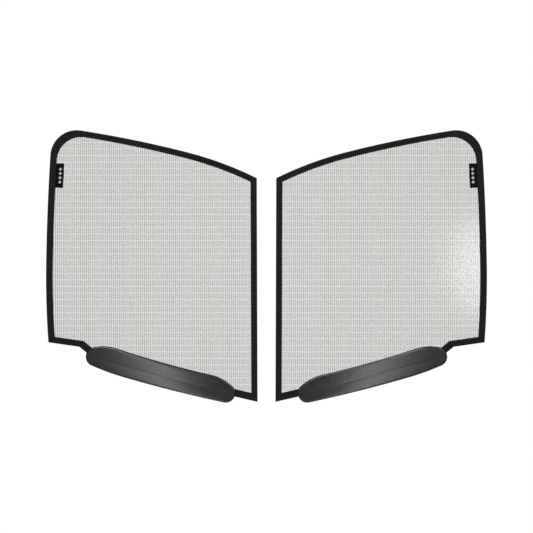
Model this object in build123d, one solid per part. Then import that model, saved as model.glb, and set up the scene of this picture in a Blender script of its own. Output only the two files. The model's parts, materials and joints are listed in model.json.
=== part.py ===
from build123d import *
import math
import os

# A handed pair of see-through mesh screens. Millimetres, +Z up, fronts facing -Y. The screens stand
# upright in one plane, and the origin is the middle of the pair. The left one is drawn in full, as
# (across, up) points of the XZ plane, and the right one is its mirror image.

# Outline of one screen: its head is the inner top corner, its foot the inner bottom corner.
INNER_HEAD = (-20.7, 185.4)
OUTLINE_HEADING = 153.65
OUTLINE_ARCS = [(747.0, 12.0), (2337.0, 5.572), (55.5, 95.188), (4817.0, 2.72), (1868.0, 5.05)]
STEP_TOP = (-393.0, -168.3)
HEM_OUTER = (-362.3, -193.3)
HEM_INNER = (-77.2, -270.5)
INNER_FOOT = (-19.1, -283.8)

# Inner edge of the binding. The tape is gathered wider round the large corner, and overlaps itself along
# the hem, so this edge has arcs and corners of its own.
EDGE_HEAD = (-33.4, 177.7)
EDGE_HEADING = 154.27
EDGE_ARCS = [(734.5, 11.38), (2324.5, 5.323), (51.0, 95.547), (4804.0, 2.61), (1855.0, 4.74)]
EDGE_CORNERS = [(-384.2, -156.6), (-356.1, -179.6), (-73.6, -256.0), (-31.9, -265.6)]

# Tape folded in half over the edge of the mesh, and the spring wire inside its fold.
BINDING_WIDTH = 12.8
BINDING_THICKNESS = 3.8
MESH_THICKNESS = 0.6
MESH_INSET = 6.2
SLOT_INSET = 5.9
WIRE_DIAMETER = 1.8
WIRE_INSET = 3.0
WIRE_BEND = 6.0
WIRE_TUNNEL = 2.4
FERRULE_DIAMETER = 2.8
FERRULE_LENGTH = 16.0
FERRULE_HEIGHT = -40.0
FERRULE_PLAY = 0.1

# Padded cover over the hem. It is drawn in the hem's own frame: along the hem from its outer end, and
# square to it. The part above the hem is sewn down, and the part below folds back around the hem.
PAD_START = (245.8, 31.0)
PAD_HEADING = 2.26
PAD_ARCS = [
    (100.0, -28.9),
    (19.9, -150.4),
    (3130.0, -3.92),
    (560.0, -7.5),
    (20.0, -145.78),
    (99.0, -28.9),
    (2160.0, 5.2),
]
PAD_BACKING = 0.8
PAD_FOAM = 3.2
PAD_COVER = 1.0
FOAM_MARGIN = 2.5
FOLD_GAP = 0.3
STITCH_RISE = 2.0
STITCH_LENGTH = 3.0
STITCH_PITCH = 4.8
STITCH_THICKNESS = 0.6
STITCH_END_MARGIN = 4.0

# Woven label folded in half, sewn in under the binding of the outer side.
LABEL_ROOT_TOP = (-441.1, 215.8)
LABEL_ROOT_BOTTOM = (-443.8, 166.6)
LABEL_REACH = 16.6
LABEL_THICKNESS = 0.8
LABEL_LIFT = 0.8
LABEL_GAP = 0.3

# Hook tape sewn on the back of the binding: each strip is the binding between two limits.
HOOK_WIDTH = 10.0
HOOK_THICKNESS = 1.5
HOOK_SPANS = {
    "hook_tape_top": ((-360.0, -60.0), (150.0, 300.0)),
    "hook_tape_side": ((-470.0, -440.0), (-110.0, 150.0)),
    "hook_tape_inner": ((-40.0, 0.0), (-240.0, 150.0)),
    "hook_tape_hem": ((-340.0, -90.0), (-290.0, -180.0)),
}

BIG = 1000.0
FRONT = BINDING_THICKNESS / 2
BACK = -BINDING_THICKNESS / 2


def tangent_arcs(start, heading, arcs):
    """Arcs that run on smoothly from one to the next. Each is (radius, turn in degrees)."""
    edges = []
    point = Vector(*start)
    direction = Vector(1, 0).rotate(Axis.Z, heading)
    for radius, turn in arcs:
        arc = JernArc(point, direction, radius, turn)
        edges.append(arc.edge())
        point = arc @ 1
        direction = arc % 1
    return edges, point


def arcs_and_corners(start, heading, arcs, corners):
    """Face bounded by smooth arcs and then straight sides back to the start, and the arcs' last point."""
    edges, last = tangent_arcs(start, heading, arcs)
    edges += Polyline(last, *corners, start).edges()
    return make_face(Wire(edges)), last


def screen_outline():
    """Face of the whole screen, and the corner where its outer side meets the lower edge."""
    corners = [STEP_TOP, HEM_OUTER, HEM_INNER, INNER_FOOT]
    return arcs_and_corners(INNER_HEAD, OUTLINE_HEADING, OUTLINE_ARCS, corners)


def window_outline():
    """Face of the screen inside its binding, and that face's corner by the outer foot."""
    return arcs_and_corners(EDGE_HEAD, EDGE_HEADING, EDGE_ARCS, EDGE_CORNERS)


def inset(face, amount):
    """The same outline moved inwards, with its corners kept sharp."""
    return offset(face, -amount, kind=Kind.INTERSECTION)


def slab(face, back, front):
    """A plate of an (across, up) face, from one depth to another. Depth counts towards the front."""
    return Plane.XZ * Pos(0, 0, back) * extrude(face, front - back)


def corner_of(face, point):
    """The vertex of a face that lies nearest to a point."""
    target = Vector(*point)
    return min(face.vertices(), key=lambda vertex: (Vector(vertex) - target).length)


def mitre_line(outer_corner, inner_corner):
    """Two points on the mitre of a corner: just outside the outline, and at the binding's inner edge."""
    outer, inner = Vector(*outer_corner), Vector(*inner_corner)
    return outer + (outer - inner), inner


def binding_regions(outline, outer_foot, window_foot):
    """Flat regions that cut the binding into its tapes, at the mitred corners."""
    middle = outline.center()
    head_out, head_in = mitre_line(INNER_HEAD, EDGE_HEAD)
    foot_out, foot_in = mitre_line(INNER_FOOT, EDGE_CORNERS[-1])
    outer_out, outer_in = mitre_line(outer_foot, window_foot)
    inner_edge = make_face(Polyline(head_out, head_in, middle, foot_in, foot_out, close=True))
    below = [Vector(foot_out.X, -BIG), Vector(outer_out.X, -BIG)]
    lower_edge = make_face(
        Polyline(foot_out, foot_in, middle, outer_in, outer_out, below[1], below[0], close=True)
    )
    return inner_edge, lower_edge


def wire_route(outline):
    """Face whose border is the middle of the edge wire, with its bends rounded."""
    route = inset(outline, WIRE_INSET)
    corners = [STEP_TOP, HEM_OUTER, HEM_INNER, INNER_FOOT, INNER_HEAD]
    sharp = [corner_of(route, point) for point in corners]
    outer_foot = min(route.vertices(), key=lambda vertex: vertex.X + vertex.Y)
    return fillet(sharp + [outer_foot], WIRE_BEND)


def edge_wire(route):
    """Spring wire all round the screen, and the crimped sleeve that joins its two ends."""
    path = route.wire()
    start = path @ 0
    profile = Plane(origin=start, z_dir=path % 0) * Circle(WIRE_DIAMETER / 2)
    loop = Plane.XZ * sweep(profile, path)
    straight = inner_edge_point(FERRULE_HEIGHT)
    place = Plane.XZ * Pos(*straight) * Rot(X=-90)
    wire = loop - place * Box(2 * WIRE_TUNNEL, 2 * WIRE_TUNNEL, WIRE_DIAMETER / 2)
    sleeve = Cylinder(FERRULE_DIAMETER / 2, FERRULE_LENGTH)
    sleeve -= Cylinder(WIRE_DIAMETER / 2, FERRULE_LENGTH)
    tilt = inner_edge_tilt()
    ferrule = Plane.XZ * Pos(*straight) * Rot(Z=tilt) * Rot(X=-90) * sleeve
    room = FERRULE_DIAMETER + 2 * FERRULE_PLAY
    cavity = Box(room, room, FERRULE_LENGTH + 2 * FERRULE_PLAY)
    return wire, ferrule, Plane.XZ * Pos(*straight) * Rot(Z=tilt) * Rot(X=-90) * cavity


def inner_edge_tilt():
    """Lean of the straight inner edge from upright, in degrees."""
    run = INNER_FOOT[0] - INNER_HEAD[0]
    drop = INNER_HEAD[1] - INNER_FOOT[1]
    return math.degrees(math.atan2(run, drop))


def inner_edge_point(height):
    """Point of the wire's middle on the straight inner edge, at a height."""
    share = (INNER_HEAD[1] - height) / (INNER_HEAD[1] - INNER_FOOT[1])
    across = INNER_HEAD[0] + share * (INNER_FOOT[0] - INNER_HEAD[0])
    return across - WIRE_INSET / math.cos(math.radians(inner_edge_tilt())), height, 0


def bindings(outline, outer_foot, route, ferrule_room):
    """The three lengths of tape that bind the edge, open for the mesh, the wire and the ferrule."""
    window, window_foot = window_outline()
    body = slab(outline - window, BACK, FRONT)
    half_mesh = MESH_THICKNESS / 2
    body -= slab(inset(outline, SLOT_INSET), -half_mesh, half_mesh)
    half_tunnel = WIRE_TUNNEL / 2
    tunnel = offset(route, half_tunnel) - offset(route, -half_tunnel)
    body -= slab(tunnel, -half_tunnel, half_tunnel)
    body -= ferrule_room
    inner_region, lower_region = binding_regions(outline, outer_foot, window_foot)
    inner_block = slab(inner_region, 2 * BACK, 2 * FRONT)
    lower_block = slab(lower_region, 2 * BACK, 2 * FRONT)
    return {
        "binding_top_and_side": body - inner_block - lower_block,
        "binding_inner_edge": body & inner_block,
        "binding_lower_edge": body & lower_block,
    }


def hem_frame():
    """Placement of the hem's own frame in the (across, up) plane."""
    slope = math.degrees(math.atan2(HEM_INNER[1] - HEM_OUTER[1], HEM_INNER[0] - HEM_OUTER[0]))
    return Pos(*HEM_OUTER) * Rot(Z=slope)


def pad_outline():
    """Face of the whole pad in the hem's frame."""
    edges, end = tangent_arcs(PAD_START, PAD_HEADING, PAD_ARCS)
    edges.append(Line(end, PAD_START).edge())
    return make_face(Wire(edges))


def pad_pieces(half):
    """Cover, foam and backing of one half of the pad, given that half's face in the hem's frame."""
    placed = hem_frame() * half
    core = hem_frame() * inset(half, FOAM_MARGIN)
    foam_back = FRONT + PAD_BACKING
    foam_front = foam_back + PAD_FOAM
    foam = slab(core, foam_back, foam_front)
    cover = slab(placed, foam_back, foam_front + PAD_COVER) - foam
    return cover, foam, slab(placed, FRONT, foam_back)


def pad_halves():
    """Faces of the sewn half above the hem and of the half that folds back."""
    whole = pad_outline()
    upper = whole & Pos(0, BIG / 2) * Rectangle(BIG, BIG)
    flap = whole & Pos(0, -BIG / 2 - FOLD_GAP) * Rectangle(BIG, BIG)
    return upper.face(), flap.face()


def pad_stitching(upper):
    """One row of stitches through the pad, just above the hem's fold."""
    box = upper.bounding_box()
    first = box.min.X + STITCH_END_MARGIN + STITCH_LENGTH / 2
    last = box.max.X - STITCH_END_MARGIN - STITCH_LENGTH / 2
    count = int((last - first) / STITCH_PITCH) + 1
    surface = FRONT + PAD_BACKING + PAD_FOAM + PAD_COVER
    stitch = Rectangle(STITCH_LENGTH, STITCH_THICKNESS)
    stitches = []
    for number in range(count):
        place = hem_frame() * Pos(first + number * STITCH_PITCH, STITCH_RISE)
        stitches.append(slab(place * stitch, surface, surface + STITCH_THICKNESS))
    return Compound(children=[piece.solid() for piece in stitches])


def label_tab():
    """Folded label that stands inwards from the binding of the outer side, clear of the mesh."""
    top = Vector(*LABEL_ROOT_TOP)
    bottom = Vector(*LABEL_ROOT_BOTTOM)
    along = (top - bottom).normalized()
    inwards = Vector(along.Y, -along.X)
    near = inwards * LABEL_GAP
    far = inwards * LABEL_REACH
    face = make_face(Polyline(bottom + near, bottom + far, top + far, top + near, close=True))
    return slab(face, LABEL_LIFT, LABEL_LIFT + LABEL_THICKNESS)


def hook_tapes(outline):
    """Strips of hook tape on the back of the binding."""
    margin = (BINDING_WIDTH - HOOK_WIDTH) / 2
    band = inset(outline, margin) - inset(outline, margin + HOOK_WIDTH)
    tapes = {}
    for name, ((left, right), (bottom, top)) in HOOK_SPANS.items():
        window = Pos((left + right) / 2, (bottom + top) / 2) * Rectangle(right - left, top - bottom)
        tapes[name] = slab(band & window, BACK - HOOK_THICKNESS, BACK)
    return tapes


def left_screen():
    """Every piece of the left screen, by name."""
    outline, outer_foot = screen_outline()
    route = wire_route(outline)
    wire, ferrule, ferrule_room = edge_wire(route)
    upper, flap = pad_halves()
    upper_cover, upper_foam, upper_backing = pad_pieces(upper)
    flap_cover, flap_foam, flap_backing = pad_pieces(flap)
    pieces = {
        "mesh_panel": slab(inset(outline, MESH_INSET), -MESH_THICKNESS / 2, MESH_THICKNESS / 2),
        "edge_wire": wire,
        "wire_ferrule": ferrule,
        "pad_upper_cover": upper_cover,
        "pad_upper_foam": upper_foam,
        "pad_upper_backing": upper_backing,
        "pad_flap_cover": flap_cover,
        "pad_flap_foam": flap_foam,
        "pad_flap_backing": flap_backing,
        "pad_stitching": pad_stitching(upper),
        "label_tab": label_tab(),
    }
    pieces.update(bindings(outline, outer_foot, route, ferrule_room))
    pieces.update(hook_tapes(outline))
    return pieces


os.makedirs("parts", exist_ok=True)
for name, piece in left_screen().items():
    export_step(piece, f"parts/{name}_left.step")
    export_step(mirror(piece, Plane.YZ), f"parts/{name}_right.step")
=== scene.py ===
import json
import math

import bpy
import numpy as np
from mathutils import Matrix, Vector


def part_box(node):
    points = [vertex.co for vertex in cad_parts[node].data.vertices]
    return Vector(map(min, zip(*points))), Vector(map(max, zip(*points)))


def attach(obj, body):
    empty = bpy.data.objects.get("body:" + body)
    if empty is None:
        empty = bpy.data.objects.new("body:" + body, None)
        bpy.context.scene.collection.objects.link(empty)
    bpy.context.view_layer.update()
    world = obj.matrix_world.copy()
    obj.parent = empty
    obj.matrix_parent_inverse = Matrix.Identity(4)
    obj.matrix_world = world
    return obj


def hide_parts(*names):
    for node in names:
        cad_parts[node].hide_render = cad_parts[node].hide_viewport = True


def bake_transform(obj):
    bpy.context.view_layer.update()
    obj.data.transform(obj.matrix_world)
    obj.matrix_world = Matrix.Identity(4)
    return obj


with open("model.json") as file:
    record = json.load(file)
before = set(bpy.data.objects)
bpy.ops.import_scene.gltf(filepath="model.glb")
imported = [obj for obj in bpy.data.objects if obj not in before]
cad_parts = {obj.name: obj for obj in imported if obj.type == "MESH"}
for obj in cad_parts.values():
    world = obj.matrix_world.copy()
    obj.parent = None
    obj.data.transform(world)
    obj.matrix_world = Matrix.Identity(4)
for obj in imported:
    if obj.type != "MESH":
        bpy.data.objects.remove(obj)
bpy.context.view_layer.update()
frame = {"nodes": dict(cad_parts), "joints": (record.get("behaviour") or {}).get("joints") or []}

# A handed pair of bound mesh screens, in metres, in the CAD frame: fronts face -Y, +Z is up. Every
# piece is drawn for the left screen and mirrored for the right one. Flat shapes are (across, up).
SIDES = ("left", "right")
MM = 0.001

# Outline of the left screen, the same arcs and corners as the frame.
INNER_HEAD = (-0.0207, 0.1854)
OUTLINE_HEADING = 153.65
OUTLINE_ARCS = [(0.747, 12.0), (2.337, 5.572), (0.0555, 95.188), (4.817, 2.72), (1.868, 5.05)]
STEP_TOP = (-0.3930, -0.1683)
HEM_OUTER = (-0.3623, -0.1933)
HEM_INNER = (-0.0772, -0.2705)
INNER_FOOT = (-0.0191, -0.2838)

# Inner edge of the binding, which is wider round the large corner and along the hem.
EDGE_HEAD = (-0.0334, 0.1777)
EDGE_HEADING = 154.27
EDGE_ARCS = [(0.7345, 11.38), (2.3245, 5.323), (0.051, 95.547), (4.804, 2.61), (1.855, 4.74)]
EDGE_CORNERS = [(-0.3842, -0.1566), (-0.3561, -0.1796), (-0.0736, -0.2560), (-0.0319, -0.2656)]

# Outline of the pad in the hem's own frame: along the hem from its outer end, and square to it.
PAD_START = (0.2458, 0.0310)
PAD_HEADING = 2.26
PAD_ARCS = [(0.1, -28.9), (0.0199, -150.4), (3.13, -3.92), (0.56, -7.5), (0.02, -145.78), (0.099, -28.9),
            (2.16, 5.2)]

BINDING_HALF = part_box("binding_inner_edge_left")[1].y
PATH_SPACING = 1.2 * MM
PAD_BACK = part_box("pad_upper_backing_left")[1].y
PAD_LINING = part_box("pad_upper_backing_left")[0].y
PAD_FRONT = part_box("pad_upper_cover_left")[0].y
HOOK_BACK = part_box("hook_tape_top_left")[1].y


# ---------------------------------------------------------------- flat shapes

def tangent_arcs(start, heading, arcs, spacing=PATH_SPACING, steps=None):
    """Points along arcs that run on smoothly from one to the next, and how many each arc has.

    Each arc is (radius, turn in degrees).
    """
    points = [np.array(start, float)]
    counts = []
    angle = math.radians(heading)
    for number, (radius, turn) in enumerate(arcs):
        turn = math.radians(turn)
        hand = math.copysign(1.0, turn)
        across = np.array((-math.sin(angle), math.cos(angle)))
        centre = points[-1] + hand * radius * across
        count = steps[number] if steps else max(2, math.ceil(abs(turn) * radius / spacing))
        for step in range(1, count + 1):
            now = angle + turn * step / count
            points.append(centre - hand * radius * np.array((-math.sin(now), math.cos(now))))
        angle += turn
        counts.append(count)
    return points, counts


def straight_run(start, end, count):
    """Equally spaced points from just after start up to end."""
    start, end = np.array(start, float), np.array(end, float)
    return [start + (end - start) * step / count for step in range(1, count + 1)]


def screen_outline():
    """The screen's border, the binding's inner edge opposite each border point, and each corner's number."""
    outer, counts = tangent_arcs(INNER_HEAD, OUTLINE_HEADING, OUTLINE_ARCS)
    inner, _ = tangent_arcs(EDGE_HEAD, EDGE_HEADING, EDGE_ARCS, steps=counts)
    places = {"head": 0, "outer_foot": len(outer) - 1}
    corners = (
        ("step", STEP_TOP),
        ("hem_outer", HEM_OUTER),
        ("hem_inner", HEM_INNER),
        ("foot", INNER_FOOT),
        ("end", INNER_HEAD),
    )
    for (name, target), opposite in zip(corners, (*EDGE_CORNERS, EDGE_HEAD)):
        count = math.ceil(np.linalg.norm(outer[-1] - target) / PATH_SPACING)
        outer += straight_run(outer[-1], target, count)
        inner += straight_run(inner[-1], opposite, count)
        places[name] = len(outer) - 1
    return np.array(outer[:-1]), np.array(inner[:-1]), places


OUTLINE, WINDOW, PLACES = screen_outline()


def widths():
    """Width of the binding at each border point, square to the border."""
    course = np.roll(OUTLINE, -1, axis=0) - OUTLINE
    course /= np.linalg.norm(course, axis=1)[:, None]
    square = np.stack((-course[:, 1], course[:, 0]), axis=1)
    return ((WINDOW - OUTLINE) * square).sum(axis=1)


ACROSS = WINDOW - OUTLINE
INWARD = ACROSS / widths()[:, None]


def between(first, last):
    """Numbers of the border points from one named corner to another, both included."""
    return np.arange(PLACES[first], PLACES[last] + 1) % len(OUTLINE)


def inset_loop(amount):
    """The border drawn in by an amount."""
    return OUTLINE + INWARD * amount


def lengths(points):
    """Distance along a line of points, from its first one."""
    return np.concatenate(([0.0], np.cumsum(np.linalg.norm(np.diff(points, axis=0), axis=1))))


def joint(name):
    """The frame's joint of that name."""
    return next(j for j in frame["joints"] if j["name"] == name)


def hem_course():
    """Direction along the left screen's hem, from its outer end to its inner one."""
    axis = np.array(joint("left_flap_fold")["axis"])
    return axis / np.linalg.norm(axis)


# ---------------------------------------------------------------- meshes

def volume(data):
    """Signed volume of a closed mesh."""
    count = len(data.polygons)
    area = np.empty(count)
    normal, centre = np.empty(3 * count), np.empty(3 * count)
    data.polygons.foreach_get("area", area)
    data.polygons.foreach_get("normal", normal)
    data.polygons.foreach_get("center", centre)
    return (area * (normal * centre).reshape(-1, 3).sum(axis=1)).sum() / 3


def new_piece(name, side, points, faces, material, coordinates, smooth=True):
    """Mesh object of a closed shape, mirrored for the right screen.

    coordinates has one pair of cloth coordinates for each corner of each face.
    """
    points = np.array(points, float)
    if side == "right":
        points = points * (-1, 1, 1)
    data = bpy.data.meshes.new(f"{name}_{side}")
    data.from_pydata(points.tolist(), [], faces)
    layer = data.uv_layers.new(name="across_and_along")
    layer.data.foreach_set("uv", np.array([pair for corners in coordinates for pair in corners]).ravel())
    if volume(data) < 0:
        data.flip_normals()
    data.polygons.foreach_set("use_smooth", [smooth] * len(faces))
    data.materials.append(material)
    obj = bpy.data.objects.new(f"{name}_{side}", data)
    bpy.context.scene.collection.objects.link(obj)
    return obj


class Shape:
    """Points, faces and cloth coordinates that several simple forms are added to."""

    def __init__(self):
        self.points = []
        self.faces = []
        self.coordinates = []

    def add(self, points, faces, coordinates):
        offset = len(self.points)
        self.points += [tuple(point) for point in points]
        self.faces += [tuple(number + offset for number in face) for face in faces]
        self.coordinates += coordinates

    def add_rings(self, rings, along, around):
        """A closed form of equal rings with flat ends.

        along has a value for each ring. around has one for each point of a ring, and the full girth last.
        """
        count, size = len(rings), len(rings[0])
        faces, coordinates = [], []
        for row in range(count - 1):
            here, there = row * size, (row + 1) * size
            for column in range(size):
                right = (column + 1) % size
                faces.append((here + column, here + right, there + right, there + column))
                coordinates.append([
                    (along[row], around[column]),
                    (along[row], around[column + 1]),
                    (along[row + 1], around[column + 1]),
                    (along[row + 1], around[column]),
                ])
        last = (count - 1) * size
        faces.append(tuple(range(size - 1, -1, -1)))
        coordinates.append([(along[0], around[column]) for column in range(size - 1, -1, -1)])
        faces.append(tuple(range(last, last + size)))
        coordinates.append([(along[-1], around[column]) for column in range(size)])
        self.add([point for ring in rings for point in ring], faces, coordinates)

    def piece(self, name, side, material, smooth=True):
        """Mesh object of everything added so far."""
        return new_piece(name, side, self.points, self.faces, material, self.coordinates, smooth)


def closed_lengths(profile):
    """Distance round a closed profile, with the full girth last."""
    return lengths(np.vstack((profile, profile[:1])))


# A stitch's shape: share of its length, share of its thickness, and how deep it dips in thicknesses.
STITCH_SHAPE = (
    (-0.50, 0.35, 0.90),
    (-0.40, 0.85, 0.35),
    (-0.22, 1.00, 0.05),
    (0.22, 1.00, 0.05),
    (0.40, 0.85, 0.35),
    (0.50, 0.35, 0.90),
)
STITCH_SIDES = 6


def stitch_rings(middle, direction, outward, length, thickness):
    """A stitch for add_rings: a short thread along direction whose ends dip back into the cloth."""
    direction = np.array(direction, float)
    outward = np.array(outward, float)
    sideways = np.cross(direction, outward)
    rings, along = [], []
    for share, swell, sink in STITCH_SHAPE:
        centre = np.array(middle) + direction * length * share - outward * sink * thickness
        radius = 0.5 * thickness * swell
        ring = []
        for number in range(STITCH_SIDES):
            turn = math.tau * number / STITCH_SIDES
            ring.append(centre + radius * (math.cos(turn) * sideways + math.sin(turn) * outward))
        rings.append(ring)
        along.append(share * length)
    around = [math.pi * thickness * number / STITCH_SIDES for number in range(STITCH_SIDES + 1)]
    return rings, along, around


# ---------------------------------------------------------------- materials

WAVE_PERIOD = math.tau / 20  # Blender's wave texture repeats after this length at scale 1


class Look:
    """A Principled material and short ways to add texture nodes to it."""

    def __init__(self, name, **sockets):
        self.material = bpy.data.materials.new(name)
        self.material.use_nodes = True
        self.nodes = self.material.node_tree.nodes
        self.links = self.material.node_tree.links
        self.shader = self.nodes["Principled BSDF"]
        for socket, value in sockets.items():
            self.shader.inputs[socket.replace("_", " ")].default_value = value

    def node(self, kind, inputs=None, **settings):
        """A new node. An input is either a number or another node's output."""
        node = self.nodes.new(kind)
        for name, value in settings.items():
            setattr(node, name, value)
        for socket, value in (inputs or {}).items():
            if isinstance(value, bpy.types.NodeSocket):
                self.links.new(value, node.inputs[socket])
            else:
                node.inputs[socket].default_value = value
        return node

    def where(self, kind="Object", scale=(1, 1, 1), turn=0.0):
        """Coordinates of the piece ("Object") or of its cloth ("UV"), scaled and turned."""
        source = self.node("ShaderNodeTexCoord").outputs[kind]
        inputs = {"Vector": source, "Scale": scale, "Rotation": (0, turn, 0)}
        return self.node("ShaderNodeMapping", inputs).outputs["Vector"]

    def noise(self, vector, scale, detail=2.0, roughness=0.5):
        inputs = {"Vector": vector, "Scale": scale, "Detail": detail, "Roughness": roughness}
        return self.node("ShaderNodeTexNoise", inputs).outputs["Fac"]

    def bands(self, vector, pitch, direction="X", distortion=0.0):
        """Smooth bands that are one pitch apart at scale 1."""
        inputs = {"Vector": vector, "Scale": WAVE_PERIOD / pitch, "Distortion": distortion}
        settings = {"wave_type": "BANDS", "bands_direction": direction, "wave_profile": "SIN"}
        return self.node("ShaderNodeTexWave", inputs, **settings).outputs["Fac"]

    def maths(self, operation, first, second=0.0):
        return self.node("ShaderNodeMath", {0: first, 1: second}, operation=operation).outputs[0]

    def ramp(self, factor, low, high, low_at=0.0, high_at=1.0):
        """Colour that goes from low to high as factor goes from low_at to high_at."""
        node = self.node("ShaderNodeValToRGB", {"Fac": factor})
        for element, place, value in zip(node.color_ramp.elements, (low_at, high_at), (low, high)):
            element.position = place
            element.color = (*value, 1.0)
        return node.outputs["Color"]

    def spread(self, factor, low, high):
        """A number that goes from low to high with factor."""
        inputs = {"Value": factor, "To Min": low, "To Max": high}
        return self.node("ShaderNodeMapRange", inputs).outputs["Result"]

    def colour(self, value):
        self.links.new(value, self.shader.inputs["Base Color"])

    def roughness(self, value):
        self.links.new(value, self.shader.inputs["Roughness"])

    def bump(self, height, distance, strength):
        node = self.node("ShaderNodeBump", {"Height": height, "Distance": distance, "Strength": strength})
        self.links.new(node.outputs["Normal"], self.shader.inputs["Normal"])


def yarn_look():
    """Coated yarn: nearly neutral once its own gloss is added, with a slight twist."""
    look = Look("coated_yarn", Specular_IOR_Level=0.5)
    place = look.where()
    tone = look.noise(place, 260.0, 3.0)
    look.colour(look.ramp(tone, (0.104, 0.090, 0.050), (0.154, 0.133, 0.076), 0.3, 0.7))
    look.roughness(look.spread(look.noise(place, 900.0), 0.11, 0.14))
    twist = look.bands(look.where(turn=0.7), 0.9 * MM, "X", 1.5)
    look.bump(twist, 0.003 * MM, 0.5)
    return look.material


def tape_look():
    """Black grosgrain tape: ribs across it, picks along it, and slow wear."""
    look = Look("binding_tape", Specular_IOR_Level=0.12, Sheen_Weight=0.12, Sheen_Roughness=0.5)
    cloth = look.where("UV")
    ribs = look.bands(cloth, 0.72 * MM, "X", 0.4)
    picks = look.bands(cloth, 0.5 * MM, "Y", 0.8)
    weave = look.maths("MULTIPLY", ribs, look.spread(picks, 0.55, 1.0))
    worn = look.noise(look.where(), 55.0, 4.0)
    shade = look.maths("MULTIPLY", weave, look.spread(worn, 0.75, 1.15))
    look.colour(look.ramp(shade, (0.007, 0.0055, 0.0065), (0.031, 0.0255, 0.029), 0.1, 0.95))
    look.roughness(look.spread(worn, 0.72, 0.92))
    look.bump(weave, 0.12 * MM, 0.8)
    return look.material


def vinyl_look():
    """Satin black vinyl with a shallow cell grain."""
    look = Look("pad_vinyl", Specular_IOR_Level=0.5)
    place = look.where()
    cells = look.node("ShaderNodeTexVoronoi", {"Vector": place, "Scale": 900.0, "Randomness": 0.9},
                      feature="DISTANCE_TO_EDGE").outputs["Distance"]
    pores = look.spread(look.noise(place, 2600.0, 2.0), -0.12, 0.12)
    grain = look.maths("ADD", look.maths("MINIMUM", cells, 0.22), look.maths("MULTIPLY", pores, 0.25))
    cloud = look.noise(place, 30.0, 3.0)
    look.colour(look.ramp(cloud, (0.015, 0.0138, 0.0136), (0.021, 0.0194, 0.0190), 0.3, 0.7))
    look.roughness(look.spread(look.noise(place, 140.0, 4.0), 0.148, 0.168))
    look.bump(grain, 0.05 * MM, 0.12)
    return look.material


def thread_look(name, dark, light):
    """Twisted sewing thread."""
    look = Look(name, Specular_IOR_Level=0.3, Sheen_Weight=0.1)
    place = look.where("UV")
    twist = look.bands(look.where("UV", (1, 1.6, 1)), 0.5 * MM, "DIAGONAL", 0.3)
    fibre = look.noise(place, 4000.0)
    look.colour(look.ramp(look.maths("MULTIPLY", twist, fibre), dark, light, 0.0, 0.6))
    look.roughness(look.spread(fibre, 0.5, 0.75))
    look.bump(twist, 0.05 * MM, 0.8)
    return look.material


def lining_look():
    """Brushed knit: fluff over small loops."""
    look = Look("pad_lining", Specular_IOR_Level=0.1, Sheen_Weight=0.25, Sheen_Roughness=0.4)
    place = look.where()
    loops = look.node("ShaderNodeTexVoronoi", {"Vector": place, "Scale": 1300.0}).outputs["Distance"]
    fluff = look.noise(place, 420.0, 5.0, 0.7)
    look.colour(look.ramp(fluff, (0.010, 0.010, 0.0105), (0.030, 0.030, 0.032), 0.3, 0.75))
    look.roughness(look.spread(fluff, 0.85, 1.0))
    look.bump(look.maths("ADD", loops, fluff), 0.2 * MM, 0.7)
    return look.material


def label_look():
    """Black satin label with a row of plain woven lozenges on its front."""
    look = Look("label_weave", Specular_IOR_Level=0.08)
    cloth = look.where("UV")
    axes = look.node("ShaderNodeSeparateXYZ", {"Vector": cloth})
    # The shift keeps the row's coordinate positive and puts the label's middle between two lozenges.
    shifted = look.maths("ADD", axes.outputs["X"], LOZENGE_PITCH * 20.5)
    from_middle = look.maths("PINGPONG", shifted, LOZENGE_PITCH / 2)
    from_row = look.maths("ABSOLUTE", look.maths("SUBTRACT", axes.outputs["Y"], LABEL_MARK_AT))
    length_share = look.maths("DIVIDE", from_middle, LOZENGE_LENGTH / 2)
    width_share = look.maths("DIVIDE", from_row, LOZENGE_WIDTH / 2)
    inside = look.maths("LESS_THAN", look.maths("ADD", length_share, width_share), 1.0)
    ends = look.maths("LESS_THAN", look.maths("ABSOLUTE", axes.outputs["X"]), LOZENGE_ROW / 2)
    mark = look.maths("MULTIPLY", inside, ends)
    satin = look.bands(cloth, 0.35 * MM, "DIAGONAL", 0.2)
    warp = look.bands(cloth, 0.22 * MM, "Y", 0.3)
    weave = look.maths("MULTIPLY", satin, look.spread(warp, 0.5, 1.0))
    ground = look.ramp(weave, (0.0008, 0.0008, 0.0008), (0.004, 0.004, 0.004))
    floats = look.ramp(weave, (0.45, 0.45, 0.44), (0.80, 0.80, 0.78))
    mix = look.node("ShaderNodeMix", {"Factor": mark, "A": ground, "B": floats}, data_type="RGBA")
    look.colour(mix.outputs["Result"])
    look.roughness(look.spread(weave, 0.45, 0.65))
    look.bump(look.maths("ADD", weave, look.maths("MULTIPLY", mark, 0.8)), 0.06 * MM, 0.7)
    return look.material


def hook_look():
    """Black nylon of the hook tape."""
    look = Look("hook_nylon", Specular_IOR_Level=0.45)
    place = look.where()
    tone = look.noise(place, 380.0, 3.0)
    look.colour(look.ramp(tone, (0.010, 0.010, 0.011), (0.030, 0.030, 0.032), 0.3, 0.7))
    look.roughness(look.spread(tone, 0.32, 0.5))
    look.bump(look.noise(place, 1900.0), 0.05 * MM, 0.5)
    return look.material


def steel_look(name, tone):
    """Drawn metal, with marks along its length."""
    look = Look(name, Metallic=1.0)
    drawn = look.noise(look.where(scale=(1, 1, 0.05)), 2500.0, 3.0)
    look.colour(look.ramp(drawn, tuple(0.7 * c for c in tone), tone, 0.3, 0.7))
    look.roughness(look.spread(drawn, 0.22, 0.42))
    look.bump(drawn, 0.02 * MM, 0.4)
    return look.material


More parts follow.
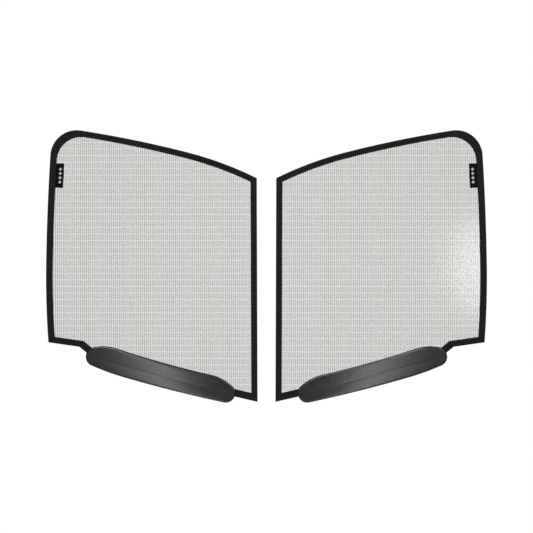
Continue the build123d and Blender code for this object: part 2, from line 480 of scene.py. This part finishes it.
def floor_look():
    """Plain pale floor."""
    look = Look("pale_floor", Specular_IOR_Level=0.2)
    cloud = look.noise(look.where(), 1.5, 4.0)
    look.colour(look.ramp(cloud, (0.78, 0.78, 0.78), (0.84, 0.84, 0.84)))
    look.roughness(look.spread(cloud, 0.7, 0.85))
    return look.material


# ---------------------------------------------------------------- mesh weave

# Yarns of each direction: spacing, yarns in a repeat, width of the first one in it, and of the others. Each
# third upright yarn is heavy, and each ninth level yarn is so fine that it leaves a pale line.
UPRIGHT_YARNS = (1.449 * MM, 3, 0.682 * MM, 0.170 * MM)
LEVEL_YARNS = (1.528 * MM, 9, 0.080 * MM, 0.397 * MM)
YARN_END_INSET = 6.6 * MM
YARN_LAYER = 0.06 * MM  # the level yarns lie this far in front of the middle, the upright ones behind it


def crossings(loop, level, along):
    """Spans of the line at one level that lie inside a closed loop.

    along is the number of the axis that the line runs along: 0 for level yarns, 1 for upright ones.
    """
    other = 1 - along
    here, there = loop, np.roll(loop, -1, axis=0)
    cuts = (here[:, other] > level) != (there[:, other] > level)
    start, end = here[cuts], there[cuts]
    share = (level - start[:, other]) / (end[:, other] - start[:, other])
    places = np.sort(start[:, along] + share * (end[:, along] - start[:, along]))
    return list(zip(places[0::2], places[1::2]))


def yarn_section(width):
    """Flattened round section of a coated yarn: offsets across and in depth."""
    half, half_depth, corner = width / 2, 0.375 * width, 0.15 * width
    return [
        (half, corner - half_depth),
        (half, half_depth - corner),
        (half - corner, half_depth),
        (corner - half, half_depth),
        (-half, half_depth - corner),
        (-half, corner - half_depth),
        (corner - half, -half_depth),
        (half - corner, -half_depth),
    ]


def mesh_weave(side, material):
    """The open weave: level and upright yarns, an odd one at intervals, cut to the screen's outline."""
    loop = inset_loop(YARN_END_INSET)
    shape = Shape()
    for along, (pitch, repeat, odd, usual) in enumerate((LEVEL_YARNS, UPRIGHT_YARNS)):
        other = 1 - along
        low, high = loop[:, other].min(), loop[:, other].max()
        depth = YARN_LAYER * (1 if along else -1)
        for number in range(1, int((high - low) / pitch)):
            level = low + number * pitch
            section = yarn_section(usual if number % repeat else odd)
            girth = closed_lengths(np.array(section))
            for span in crossings(loop, level, along):
                if along == 0:
                    rings = [[(place, depth + y, level + off) for off, y in section] for place in span]
                else:
                    rings = [[(level + off, depth + y, place) for off, y in section] for place in span]
                shape.add_rings(rings, span, girth)
    piece = shape.piece("mesh_weave", side, material, smooth=False)
    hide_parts(f"mesh_panel_{side}")
    return piece


# ---------------------------------------------------------------- binding

# Section of the folded tape, in millimetres on a tape 12.8 wide: distance in from the border, and half
# thickness. The fold stands a little proud of the border, and the seam lies in a groove.
TAPE_WIDTH = 12.8
TAPE_SECTION = [
    (12.95, 0.60), (12.95, 1.10), (12.60, 1.38), (11.90, 1.48), (11.00, 1.42), (10.45, 1.24), (10.05, 1.12),
    (9.65, 1.24), (9.10, 1.46), (7.70, 1.62), (6.00, 1.74), (4.40, 1.85), (2.80, 1.87), (1.40, 1.66),
    (0.40, 1.22), (-0.15, 0.64),
]
TAPE_FOLD = (-0.35, 0.0)
TAPE_SLOT = [(12.85, -0.36), (6.40, -0.36), (6.40, 0.36), (12.85, 0.36)]
TAPE_CORNERS = ("head", "outer_foot", "step", "hem_outer", "hem_inner", "foot", "end")
PLEAT_PITCH = 7.5 * MM
PLEAT_DEPTH = 0.12
PLEAT_FROM = 1.17  # the tape is pleated where it is this many times its width, and more
SEAM_INSET = 10.05
SEAM_SPREAD = 0.085
SEAM_DEPTH = 1.16 * MM
SEAM_PITCH = 3.2 * MM
SEAM_STITCH = 2.3 * MM
SEAM_THREAD = 0.42 * MM


def tape_profile():
    """Closed section of the tape: up its back, round the fold, down its front, and round the slot."""
    front = [(inset, -depth) for inset, depth in reversed(TAPE_SECTION)]
    return np.array(TAPE_SECTION + [TAPE_FOLD] + front + TAPE_SLOT) / (TAPE_WIDTH, 1 / MM)


def waviness(distance):
    """Slow unevenness of hand-guided sewing, from -1 to 1."""
    return (0.5 * np.sin(distance / (23 * MM)) + 0.3 * np.sin(distance / (9.1 * MM) + 1.3)
            + 0.2 * np.sin(distance / (4.7 * MM) + 0.4))


def gathers(numbers, distance):
    """Depth of the tape's pleats at each border point. It has them only where it is gathered at a corner."""
    extra = widths()[numbers] / (TAPE_WIDTH * MM) - PLEAT_FROM
    return np.clip(extra / 0.15, 0, 1) * np.sin(math.tau * distance / PLEAT_PITCH) * PLEAT_DEPTH


def tape_piece(name, side, first, last, material):
    """One length of binding tape, from mitre to mitre."""
    numbers = between(first, last)
    distance = lengths(OUTLINE[numbers])
    profile = tape_profile()
    shares, depths = profile[:, 0], profile[:, 1]
    near_seam = np.exp(-((shares - SEAM_INSET / TAPE_WIDTH) / SEAM_SPREAD) ** 2)
    outer_face = np.abs(depths) > 0.5 * MM
    pleats = gathers(numbers, distance)
    rings = []
    for number, run, pleat in zip(numbers, distance, pleats):
        pucker = 0.5 + 0.5 * math.cos(math.tau * run / SEAM_PITCH)
        change = 0.03 * waviness(run) - 0.12 * pucker * near_seam + pleat * np.clip(shares, 0, 1)
        flat = OUTLINE[number] + np.outer(shares, ACROSS[number])
        rings.append(np.stack((flat[:, 0], depths * (1 + outer_face * change), flat[:, 1]), axis=1))
    shape = Shape()
    shape.add_rings(rings, distance, closed_lengths(profile * (TAPE_WIDTH * MM, 1)))
    piece = shape.piece(f"tape_{name}", side, material)
    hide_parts(f"binding_{name}_{side}")
    return piece


def place_on_line(line, distance, run, ahead):
    """Place a run along a line, as across and up, and the direction there as a 3-D vector."""
    x, z = (np.interp(run, distance, line[:, axis]) for axis in (0, 1))
    next_x, next_z = (np.interp(run + ahead, distance, line[:, axis]) for axis in (0, 1))
    course = np.array((next_x - x, 0.0, next_z - z))
    return x, z, course / np.linalg.norm(course)


def stitch_row(shape, line, depth, outward):
    """A row of seam stitches along a line, on one face of the binding."""
    distance = lengths(line)
    count = int((distance[-1] - SEAM_PITCH) / SEAM_PITCH)
    margin = (distance[-1] - count * SEAM_PITCH) / 2
    for run in margin + np.arange(count + 1) * SEAM_PITCH:
        x, z, course = place_on_line(line, distance, run, 0.5 * MM)
        shape.add_rings(*stitch_rings((x, depth, z), course, (0, outward, 0), SEAM_STITCH, SEAM_THREAD))


def binding_seams(side, material):
    """The seam that closes the binding round the screen, on its front and on its back."""
    shape = Shape()
    line = OUTLINE + ACROSS * (SEAM_INSET / TAPE_WIDTH)
    for first, last in zip(TAPE_CORNERS, TAPE_CORNERS[1:]):
        stretch = line[between(first, last)]
        stitch_row(shape, stretch, -SEAM_DEPTH, -1)
        stitch_row(shape, stretch, SEAM_DEPTH, 1)
    piece = shape.piece("binding_seam", side, material)
    return piece


# ---------------------------------------------------------------- pad

PAD_COLUMNS = 250
PAD_ROWS_BELOW = 20
PAD_ROWS_ABOVE = 26
PAD_RIM = 3.4 * MM
PAD_SINK = 0.5 * MM
PAD_SPACING = 1.0 * MM
GROOVE_WIDTH = 1.3 * MM
STITCH_RISE = 2.0 * MM
STITCH_PITCH = 4.8 * MM
STITCH_LENGTH = 2.9 * MM
STITCH_THREAD = 1.2 * MM
STITCH_COUNT = 65
FOLD_ALONG = 150 * MM
FOLD_FROM = 0.8 * MM
FOLD_TO = -11.0 * MM
LINING_MARGIN = 0.9 * MM
COVER_MARGIN = -0.55 * MM  # the cover swells out past its outline
PUFF_FRAMES = 16
PUFF_CAP = 0.6 * MM
PUFF_PRESSURE = 0.12


def pad_outline():
    """The pad's outline in the hem's own frame."""
    return np.array(tangent_arcs(PAD_START, PAD_HEADING, PAD_ARCS, PAD_SPACING)[0])


def pad_loop(margin):
    """The pad's outline drawn in by a margin."""
    loop = pad_outline()
    return loop + (loop.mean(axis=0) - loop) * 2 * margin / np.ptp(loop, axis=0)


def hem_to_frame(along, square, depth):
    """Points of the hem's own frame, moved to the left screen."""
    start = np.array(joint("left_flap_fold")["pos_m"])
    course = hem_course()
    up = np.array((-course[2], 0.0, course[0]))
    points = start + np.multiply.outer(along, course) + np.multiply.outer(square, up)
    points[..., 1] = depth
    return points


def distance_to_loop(points, loop):
    """Distance from each point to a closed outline."""
    side = np.roll(loop, -1, axis=0) - loop
    size = np.maximum((side ** 2).sum(axis=1), 1e-18)
    distances = []
    for part in np.array_split(points, max(1, len(points) // 2000)):
        from_start = part[:, None, :] - loop[None]
        share = np.clip((from_start * side[None]).sum(axis=2) / size, 0, 1)
        gap = from_start - share[..., None] * side[None]
        distances.append(np.sqrt((gap ** 2).sum(axis=2)).min(axis=1))
    return np.concatenate(distances)


def pad_grid(loop):
    """Grid of points over a pad outline: columns along the hem, rows closer together at rim and seam."""
    left_end, right_end = np.argmin(loop[:, 0]), np.argmax(loop[:, 0])
    low, high = loop[left_end, 0], loop[right_end, 0]
    turns = np.linspace(-math.pi / 2, math.pi / 2, PAD_COLUMNS)
    columns = (low + high) / 2 + (high - low) / 2 * np.sin(turns)
    ordered = np.roll(loop, -right_end, axis=0)
    split = (left_end - right_end) % len(loop)
    lower = ordered[:split + 1]
    upper = np.vstack((ordered[split:], ordered[:1]))
    bottom = np.interp(columns, lower[::-1, 0], lower[::-1, 1])
    top = np.interp(columns, upper[:, 0], upper[:, 1])
    height = top - bottom
    seam = np.clip(STITCH_RISE, bottom + 0.35 * height, top - 0.35 * height)
    ease_below = 0.5 - 0.5 * np.cos(np.linspace(0, math.pi, PAD_ROWS_BELOW))
    ease_above = 0.5 - 0.5 * np.cos(np.linspace(0, math.pi, PAD_ROWS_ABOVE))[1:]
    below = bottom[:, None] + (seam - bottom)[:, None] * ease_below
    above = seam[:, None] + (top - seam)[:, None] * ease_above
    rows = np.hstack((below, above))
    return np.repeat(columns[:, None], rows.shape[1], axis=1), rows


def rounded_rim(distance, radius):
    """Height of a rounded edge, from 0 at the rim to 1 a radius in."""
    share = np.clip(distance / radius, 0, 1)
    return np.sqrt(1 - (1 - share) ** 2)


def stitch_places():
    """Places of the pad's stitches along the hem: one row centred on the pad."""
    loop = pad_outline()
    middle = (loop[:, 0].min() + loop[:, 0].max()) / 2
    return middle + (np.arange(STITCH_COUNT) - (STITCH_COUNT - 1) / 2) * STITCH_PITCH


def cover_height(along, square, distance):
    """Height of the cover's front over the lining: a rounded rim, and the sewn-down seam."""
    full = PAD_LINING - PAD_FRONT - PAD_SINK
    groove = np.exp(-((square - STITCH_RISE) / GROOVE_WIDTH) ** 2)
    pucker = 0.5 + 0.5 * np.cos(math.tau * (along - stitch_places()[0]) / STITCH_PITCH)
    seam = (0.02 + 0.06 * pucker) * MM * groove * np.clip(distance / (6 * MM), 0, 1)
    return full * rounded_rim(distance, PAD_RIM) - seam


def lining_height(along, square, distance):
    """Height of the lining's front over its back: flat, with a rounded rim."""
    return (PAD_BACK - PAD_LINING) * rounded_rim(distance, 0.8 * MM)


def grid_faces(numbers, along, square, steps):
    """Faces over a grid of point numbers, except those that shrink to a line, and their cloth coordinates.

    steps are the corners of a face, in order.
    """
    faces, coordinates = [], []
    for column in range(along.shape[0] - 1):
        for row in range(along.shape[1] - 1):
            corners = {}
            for over, up in steps:
                spot = (column + over, row + up)
                corners.setdefault(int(numbers[spot]), spot)
            if len(corners) > 2:
                faces.append(tuple(corners))
                coordinates.append([(along[spot], square[spot]) for spot in corners.values()])
    return faces, coordinates


def pad_layer(loop, back, height):
    """A closed layer over a pad outline: a flat back, and a front at a height that may vary."""
    along, square = pad_grid(loop)
    flat = np.stack((along.ravel(), square.ravel()), axis=1)
    distance = distance_to_loop(flat, loop).reshape(along.shape)
    rim = np.ones(along.shape, bool)
    rim[1:-1, 1:-1] = False
    distance[rim] = 0
    front = hem_to_frame(along, square, back - height(along, square, distance))
    rear = hem_to_frame(along, square, np.full(along.shape, back))
    number = np.arange(along.size).reshape(along.shape)
    number[0], number[-1] = number[0, 0], number[-1, 0]
    rear_number = np.where(rim, number, number + along.size)
    faces, coordinates = grid_faces(number, along, square, ((0, 0), (1, 0), (1, 1), (0, 1)))
    rear_faces, rear_coordinates = grid_faces(rear_number, along, square, ((0, 0), (0, 1), (1, 1), (1, 0)))
    faces += rear_faces
    coordinates += rear_coordinates
    points = np.vstack((front.reshape(-1, 3), rear.reshape(-1, 3)))
    used = np.unique([number for face in faces for number in face])
    place = np.zeros(len(points), int)
    place[used] = np.arange(len(used))
    faces = [tuple(int(place[number]) for number in face) for face in faces]
    shape = Shape()
    shape.add(points[used], faces, coordinates)
    return shape


def is_held(points):
    """Which points of the cover can't move: its flat back, its rim, and the holes of its stitches."""
    course = hem_course()
    from_hinge = points - np.array(joint("left_flap_fold")["pos_m"])
    along = from_hinge @ course
    square = from_hinge[:, 2] * course[0] - from_hinge[:, 0] * course[2]
    back = points[:, 1] > PAD_LINING - 1.2 * MM
    phase = np.abs((along - stitch_places()[0]) / STITCH_PITCH % 1 - 0.5)
    holes = (np.abs(square - STITCH_RISE) < 0.3 * MM) & (phase > 0.18)
    return back | holes


def puff_up(shape):
    """Let the sewn cover settle as cloth under the foam's pressure, within a cap, and keep the result."""
    points = np.array(shape.points)
    piece = new_piece("settling", "left", points, shape.faces, None, shape.coordinates)
    group = piece.vertex_groups.new(name="held")
    group.add(np.flatnonzero(is_held(points)).tolist(), 1.0, "REPLACE")
    modifier = piece.modifiers.new("cloth", "CLOTH")
    cloth = modifier.settings
    cloth.vertex_group_mass = "held"
    cloth.quality = 5
    cloth.mass = 0.2
    cloth.tension_stiffness = 15
    cloth.compression_stiffness = 15
    cloth.bending_stiffness = 2.0
    cloth.use_pressure = True
    cloth.uniform_pressure_force = PUFF_PRESSURE
    cloth.effector_weights.gravity = 0
    modifier.collision_settings.use_collision = False
    modifier.point_cache.frame_end = PUFF_FRAMES
    for number in range(1, PUFF_FRAMES + 1):
        bpy.context.scene.frame_set(number)
    settled = piece.evaluated_get(bpy.context.evaluated_depsgraph_get())
    moved = np.empty(3 * len(points))
    settled.data.vertices.foreach_get("co", moved)
    change = moved.reshape(-1, 3) - points
    size = np.linalg.norm(change, axis=1)
    change *= (np.minimum(size, PUFF_CAP) / np.maximum(size, 1e-9))[:, None]
    shape.points = [tuple(point) for point in points + change]
    bpy.context.scene.frame_set(1)
    data = piece.data
    bpy.data.objects.remove(piece)
    bpy.data.meshes.remove(data)


def fold_over_hem(piece, side):
    """Bakes the piece's placement into its points. Where the pad's lower half would fold back around the hem
    is worked out, but the piece is not bent.
    """
    start = hem_to_frame(np.array(FOLD_ALONG), np.array(FOLD_FROM), PAD_BACK)
    end = hem_to_frame(np.array(FOLD_ALONG), np.array(FOLD_TO), PAD_BACK)
    if side == "right":
        start, end = start * (-1, 1, 1), end * (-1, 1, 1)
    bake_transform(piece)


def pad_cover(shape, side, material):
    """The cover with its foam."""
    cover = shape.piece("pad_cover", side, material)
    hidden = [f"pad_{half}_{layer}_{side}" for half in ("upper", "flap") for layer in ("cover", "foam")]
    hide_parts(*hidden)
    fold_over_hem(cover, side)
    return cover


def pad_lining(shape, side, material):
    """The brushed lining behind the cover."""
    lining = shape.piece("pad_lining", side, material)
    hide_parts(f"pad_upper_backing_{side}", f"pad_flap_backing_{side}")
    fold_over_hem(lining, side)


def seam_surface(shape):
    """Depth of the cover's front along its row of stitches, at the places of the stitches."""
    points = np.array(shape.points)
    places = hem_to_frame(stitch_places(), np.full(STITCH_COUNT, STITCH_RISE), 0.0)
    front = points[points[:, 1] < PAD_LINING - 1.5 * MM]
    depths = []
    for place in places:
        near = ((front - place)[:, (0, 2)] ** 2).sum(axis=1) < (STITCH_LENGTH / 2) ** 2
        depths.append(front[near, 1].min())
    return places, depths


def pad_stitches(cover_shape, side, material):
    """Long stitches through the pad and the hem, each sunk a little into the cover."""
    course = hem_course()
    shape = Shape()
    for place, depth in zip(*seam_surface(cover_shape)):
        middle = (place[0], depth, place[2])
        shape.add_rings(*stitch_rings(middle, course, (0, -1, 0), STITCH_LENGTH, STITCH_THREAD))
    piece = shape.piece("pad_stitches", side, material)
    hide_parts(f"pad_stitching_{side}")
    return piece


# ---------------------------------------------------------------- label

LABEL_LENGTH = 51.4 * MM
LABEL_REACH = 16.6 * MM
LABEL_ROOT = 0.35 * MM
LABEL_PLY = 0.34 * MM
LABEL_CURL = 0.12 * MM
LABEL_MARK_AT = 9.0 * MM
LOZENGE_PITCH = 9.0 * MM
LOZENGE_ROW = 36.0 * MM
LOZENGE_LENGTH = 7.0 * MM
LOZENGE_WIDTH = 7.0 * MM
LABEL_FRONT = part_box("label_tab_left")[0].y
LABEL_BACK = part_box("label_tab_left")[1].y


def label_profile():
    """Section of the folded label: reach from the binding, and depth. It runs along its front first."""
    middle = (LABEL_FRONT + LABEL_BACK) / 2
    outer = (LABEL_BACK - LABEL_FRONT) / 2
    inner = outer - LABEL_PLY
    tip = LABEL_REACH - outer
    reaches = np.linspace(LABEL_ROOT, tip, 14)
    turns = np.linspace(-math.pi / 2, math.pi / 2, 9)[1:-1]
    front = [(reach, middle - outer) for reach in reaches]
    fold = [(tip + outer * math.cos(turn), middle + outer * math.sin(turn)) for turn in turns]
    back = [(reach, middle + outer) for reach in reversed(reaches)]
    inside_back = [(reach, middle + inner) for reach in reaches]
    inside_fold = [(tip + inner * math.cos(turn), middle + inner * math.sin(turn)) for turn in turns[::-1]]
    inside_front = [(reach, middle - inner) for reach in reversed(reaches)]
    return np.array(front + fold + back + inside_back + inside_fold + inside_front)


def label(side, material):
    """Folded woven label that stands in from the binding of the outer side."""
    hinge = joint("left_label_turn")
    up = -np.array(hinge["axis"]) / np.linalg.norm(hinge["axis"])
    inward = np.array((up[2], 0.0, -up[0]))
    profile = label_profile()
    rows = np.linspace(-LABEL_LENGTH / 2, LABEL_LENGTH / 2, 60)
    rings = []
    for row in rows:
        curl = LABEL_CURL * math.cos(math.tau * row / LABEL_LENGTH)
        points = np.array(hinge["pos_m"]) + np.outer(profile[:, 0], inward) + row * up
        points[:, 1] = profile[:, 1] - curl * (profile[:, 0] / LABEL_REACH) ** 2
        rings.append(points)
    shape = Shape()
    shape.add_rings(rings, rows, closed_lengths(profile))
    piece = shape.piece("label", side, material)
    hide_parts(f"label_tab_{side}")
    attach(piece, f"label_{side}")


# ---------------------------------------------------------------- hook tape

# Each strip of hook tape runs along one stretch of the border.
HOOK_STRIPS = {
    "top": ("head", "outer_foot"),
    "side": ("head", "outer_foot"),
    "inner": ("foot", "end"),
    "hem": ("hem_outer", "hem_inner"),
}
HOOK_MIDDLE = 6.4 * MM
HOOK_HALF_WIDTH = 5.0 * MM
HOOK_BASE = 0.5 * MM
HOOK_ROWS = 7
HOOK_ROW_PITCH = 1.3 * MM
HOOK_PITCH = 1.5 * MM
HOOK_STEM = 0.13 * MM
# A hook's shape: share of its height, share of its height that it leans over, and thickness.
HOOK_SHAPE = ((0.0, 0.0, 1.25), (0.55, 0.0, 1.0), (0.92, 0.22, 0.95), (0.80, 0.52, 0.7))
HOOK_CORNERS = ((1, 1), (-1, 1), (-1, -1), (1, -1))


def hook_stretch(name):
    """Numbers of the border points that a strip runs along, from the box of the same strip in the frame."""
    low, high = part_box(f"hook_tape_{name}_left")
    numbers = between(*HOOK_STRIPS[name])
    line = inset_loop(HOOK_MIDDLE)[numbers]
    slack = 0.8 * MM
    along = 0 if high.x - low.x > high.z - low.z else 1
    limits = ((low.x, high.x), (low.z, high.z))[along]
    inside = (line[:, along] >= limits[0] - slack) & (line[:, along] <= limits[1] + slack)
    if name == "top":
        inside &= line[:, 1] > low.z
    if name == "side":
        inside &= line[:, 0] < high.x
    return numbers[inside]


def hook(shape, root, course, lean):
    """One nylon hook: a stem that bends over."""
    sideways = np.cross(course, (0.0, 1.0, 0.0))
    height = HOOK_BACK - root[1]
    rings, along = [], []
    for rise, reach, swell in HOOK_SHAPE:
        centre = root + np.array((0.0, rise * height, 0.0)) + course * lean * reach * height
        tilt = course * lean if rise > 0.6 else np.array((0.0, 1.0, 0.0))
        flat = np.cross(sideways, tilt)
        half = HOOK_STEM * swell
        rings.append([centre + half * (a * sideways + b * flat) for a, b in HOOK_CORNERS])
        along.append(rise * height)
    shape.add_rings(rings, along, [HOOK_STEM * number for number in range(5)])


def hook_base(shape, numbers, top):
    """The woven base of a strip. It reaches down into the binding, whose back isn't quite flat."""
    half, bottom = HOOK_HALF_WIDTH, BINDING_HALF - 0.6 * MM
    edge = 0.15 * MM
    section = np.array([
        (-half, bottom),
        (-half, top - edge),
        (edge - half, top),
        (-half / 2, top),
        (0, top),
        (half / 2, top),
        (half - edge, top),
        (half, top - edge),
        (half, bottom),
        (0, bottom),
    ])
    rings = []
    for number in numbers:
        flat = OUTLINE[number] + np.outer(HOOK_MIDDLE + section[:, 0], INWARD[number])
        rings.append(np.stack((flat[:, 0], section[:, 1], flat[:, 1]), axis=1))
    shape.add_rings(rings, lengths(OUTLINE[numbers]), closed_lengths(section))


def hook_strip(name, side, material):
    """A strip of hook tape on the back of the binding: its woven base and its rows of hooks."""
    numbers = hook_stretch(name)
    top = BINDING_HALF + HOOK_BASE
    shape = Shape()
    hook_base(shape, numbers, top)
    for row in range(HOOK_ROWS):
        offset = (row - (HOOK_ROWS - 1) / 2) * HOOK_ROW_PITCH
        line = OUTLINE[numbers] + INWARD[numbers] * (HOOK_MIDDLE + offset)
        distance = lengths(line)
        first = 1.0 * MM + (row % 2) * HOOK_PITCH / 2
        for run in np.arange(first, distance[-1] - 1.0 * MM, HOOK_PITCH):
            x, z, course = place_on_line(line, distance, run, 0.4 * MM)
            hook(shape, np.array((x, top - 0.05 * MM, z)), course, 1 if row % 2 else -1)
    piece = shape.piece(f"hooks_{name}", side, material)
    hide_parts(f"hook_tape_{name}_{side}")
    return piece


# ---------------------------------------------------------------- stage

CAMERA_DISTANCE = 2.6428
CAMERA_LENS = 85.0
SENSOR_WIDTH = 36.0
FLOOR_DROP = 0.8
FLOOR_RADIUS = 1.0
FLOOR_CORNERS = 128
WORLD_LIGHT = 0.14

# Lights: places in metres, and radiances in watts a square metre a steradian.
KEY_PLACE = (-0.7, -3.0, 2.4)
KEY_RADIANCE = 7.5
FILL_PLACE = (1.6, -2.6, 1.2)
FILL_RADIANCE = 4.0
BACK_RADIANCE = 8.0
FACING_DISTANCE = 2.0
# The pads mirror two strips each: distance out from the middle, width, radiance and colour.
STRIPS = {
    "strip": (0.3715, 0.06, 9.2, (1.0, 1.0, 1.0)),
    "side_strip": (0.449, 0.15, 2.3, (1.0, 0.94, 0.93)),
}
STRIP_LEVEL = -0.44
STRIP_HEIGHT = 3.0
# The right weave mirrors a round light near its outer side.
GLEAM_PLACE = (0.790, 0.005)
GLEAM_SIZE = (0.22, 0.34)
GLEAM_RADIANCE = 14.5


def add_camera():
    """Camera straight in front of the pair and level with its middle."""
    data = bpy.data.cameras.new("camera")
    data.lens = CAMERA_LENS
    data.sensor_width = SENSOR_WIDTH
    camera = bpy.data.objects.new("camera", data)
    camera.location = (0, -CAMERA_DISTANCE, 0)
    camera.rotation_euler = (math.pi / 2, 0, 0)
    bpy.context.scene.collection.objects.link(camera)
    bpy.context.scene.camera = camera


def add_area_light(name, location, target, size, radiance, colour=(1, 1, 1)):
    """A rectangular light that faces a target. radiance is in watts a square metre a steradian."""
    width, height = size
    data = bpy.data.lights.new(name, "AREA")
    data.color = colour
    data.shape = "RECTANGLE"
    data.size = width
    data.size_y = height
    data.energy = radiance * math.pi * width * height
    light = bpy.data.objects.new(name, data)
    light.location = location
    light.rotation_euler = (Vector(target) - Vector(location)).to_track_quat("-Z", "Y").to_euler()
    bpy.context.scene.collection.objects.link(light)
    return light


def light_only(light, pieces):
    """Let a light reach these pieces and nothing else."""
    group = bpy.data.collections.new(f"{light.name}_receivers")
    for piece in pieces:
        group.objects.link(piece)
    light.light_linking.receiver_collection = group


def add_world():
    """White surroundings: what is seen past the object is white, and what lights it is softer."""
    world = bpy.data.worlds.new("studio")
    bpy.context.scene.world = world
    world.use_nodes = True
    nodes, links = world.node_tree.nodes, world.node_tree.links
    nodes.clear()
    seen = nodes.new("ShaderNodeBackground")
    seen.inputs["Color"].default_value = (1, 1, 1, 1)
    lighting = nodes.new("ShaderNodeBackground")
    lighting.inputs["Color"].default_value = (1, 1, 1, 1)
    lighting.inputs["Strength"].default_value = WORLD_LIGHT
    path = nodes.new("ShaderNodeLightPath")
    mix = nodes.new("ShaderNodeMixShader")
    output = nodes.new("ShaderNodeOutputWorld")
    links.new(path.outputs["Is Camera Ray"], mix.inputs["Fac"])
    links.new(lighting.outputs["Background"], mix.inputs[1])
    links.new(seen.outputs["Background"], mix.inputs[2])
    links.new(mix.outputs["Shader"], output.inputs["Surface"])


def add_floor():
    """A pale disc below the pair, out of the front view."""
    data = bpy.data.meshes.new("floor")
    turns = [math.tau * number / FLOOR_CORNERS for number in range(FLOOR_CORNERS)]
    around = [(FLOOR_RADIUS * math.cos(turn), FLOOR_RADIUS * math.sin(turn)) for turn in turns]
    corners = [(x, y, -FLOOR_DROP) for x, y in around]
    data.from_pydata(corners, [], [tuple(range(FLOOR_CORNERS))])
    data.materials.append(floor_look())
    floor = bpy.data.objects.new("floor", data)
    bpy.context.scene.collection.objects.link(floor)


def add_facing_light(name, across, up, size, radiance, colour=(1, 1, 1)):
    """A light in front of the pair that faces straight back, and is seen in what lies flat."""
    return add_area_light(name, (across, -FACING_DISTANCE, up), (across, 0, up), size, radiance, colour)


def add_lights(covers, right_weave):
    """Soft light from the front and behind, tall strips that the pads reflect, and a gleam on one weave."""
    middle = (0, 0, 0)
    add_area_light("key", KEY_PLACE, middle, (1.8, 1.8), KEY_RADIANCE)
    add_area_light("fill", FILL_PLACE, middle, (1.4, 1.4), FILL_RADIANCE)
    for hand in (-1, 1):
        add_area_light(f"back_fill_{hand}", (hand * 1.4, 2.2, 1.0), middle, (1.2, 1.2), BACK_RADIANCE)
        for name, (across, width, radiance, colour) in STRIPS.items():
            size = (width, STRIP_HEIGHT)
            strip = add_facing_light(f"{name}_{hand}", hand * across, STRIP_LEVEL, size, radiance, colour)
            light_only(strip, covers)
    gleam = add_facing_light("gleam", *GLEAM_PLACE, GLEAM_SIZE, GLEAM_RADIANCE)
    gleam.data.shape = "ELLIPSE"
    gleam.visible_diffuse = False
    light_only(gleam, [right_weave])


# ---------------------------------------------------------------- assembly

def dress(node, material):
    """Give a frame part its material."""
    data = frame["nodes"][node].data
    data.materials.clear()
    data.materials.append(material)


def main():
    add_camera()
    bpy.context.scene.view_settings.view_transform = "Standard"
    add_world()
    add_floor()
    yarn_material = yarn_look()
    tape_material = tape_look()
    vinyl = vinyl_look()
    lining_material = lining_look()
    seam_thread = thread_look("seam_thread", (0.006, 0.006, 0.006), (0.035, 0.033, 0.034))
    pad_thread = thread_look("pad_thread", (0.004, 0.004, 0.004), (0.022, 0.022, 0.022))
    label_material = label_look()
    hook_material = hook_look()
    wire = steel_look("spring_wire", (0.55, 0.56, 0.58))
    ferrule = steel_look("ferrule_metal", (0.66, 0.64, 0.60))
    cover_shape = pad_layer(pad_loop(COVER_MARGIN), PAD_LINING, cover_height)
    puff_up(cover_shape)
    lining_loop = pad_loop(LINING_MARGIN)
    lining_shape = pad_layer(lining_loop, PAD_BACK, lining_height)
    covers, weaves = [], []
    for side in SIDES:
        tapes = [
            tape_piece("top_and_side", side, "head", "outer_foot", tape_material),
            tape_piece("lower_edge", side, "outer_foot", "foot", tape_material),
            tape_piece("inner_edge", side, "foot", "end", tape_material),
        ]
        seams = binding_seams(side, seam_thread)
        weave = mesh_weave(side, yarn_material)
        covers.append(pad_cover(cover_shape, side, vinyl))
        weaves.append(weave)
        pad_lining(lining_shape, side, lining_material)
        stitches = pad_stitches(cover_shape, side, pad_thread)
        label(side, label_material)
        strips = [hook_strip(name, side, hook_material) for name in HOOK_STRIPS]
        for piece in (*tapes, seams, weave, stitches, *strips):
            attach(piece, f"screen_{side}")
        dress(f"edge_wire_{side}", wire)
        dress(f"wire_ferrule_{side}", ferrule)
    add_lights(covers, weaves[-1])


main()
bpy.context.view_layer.update()
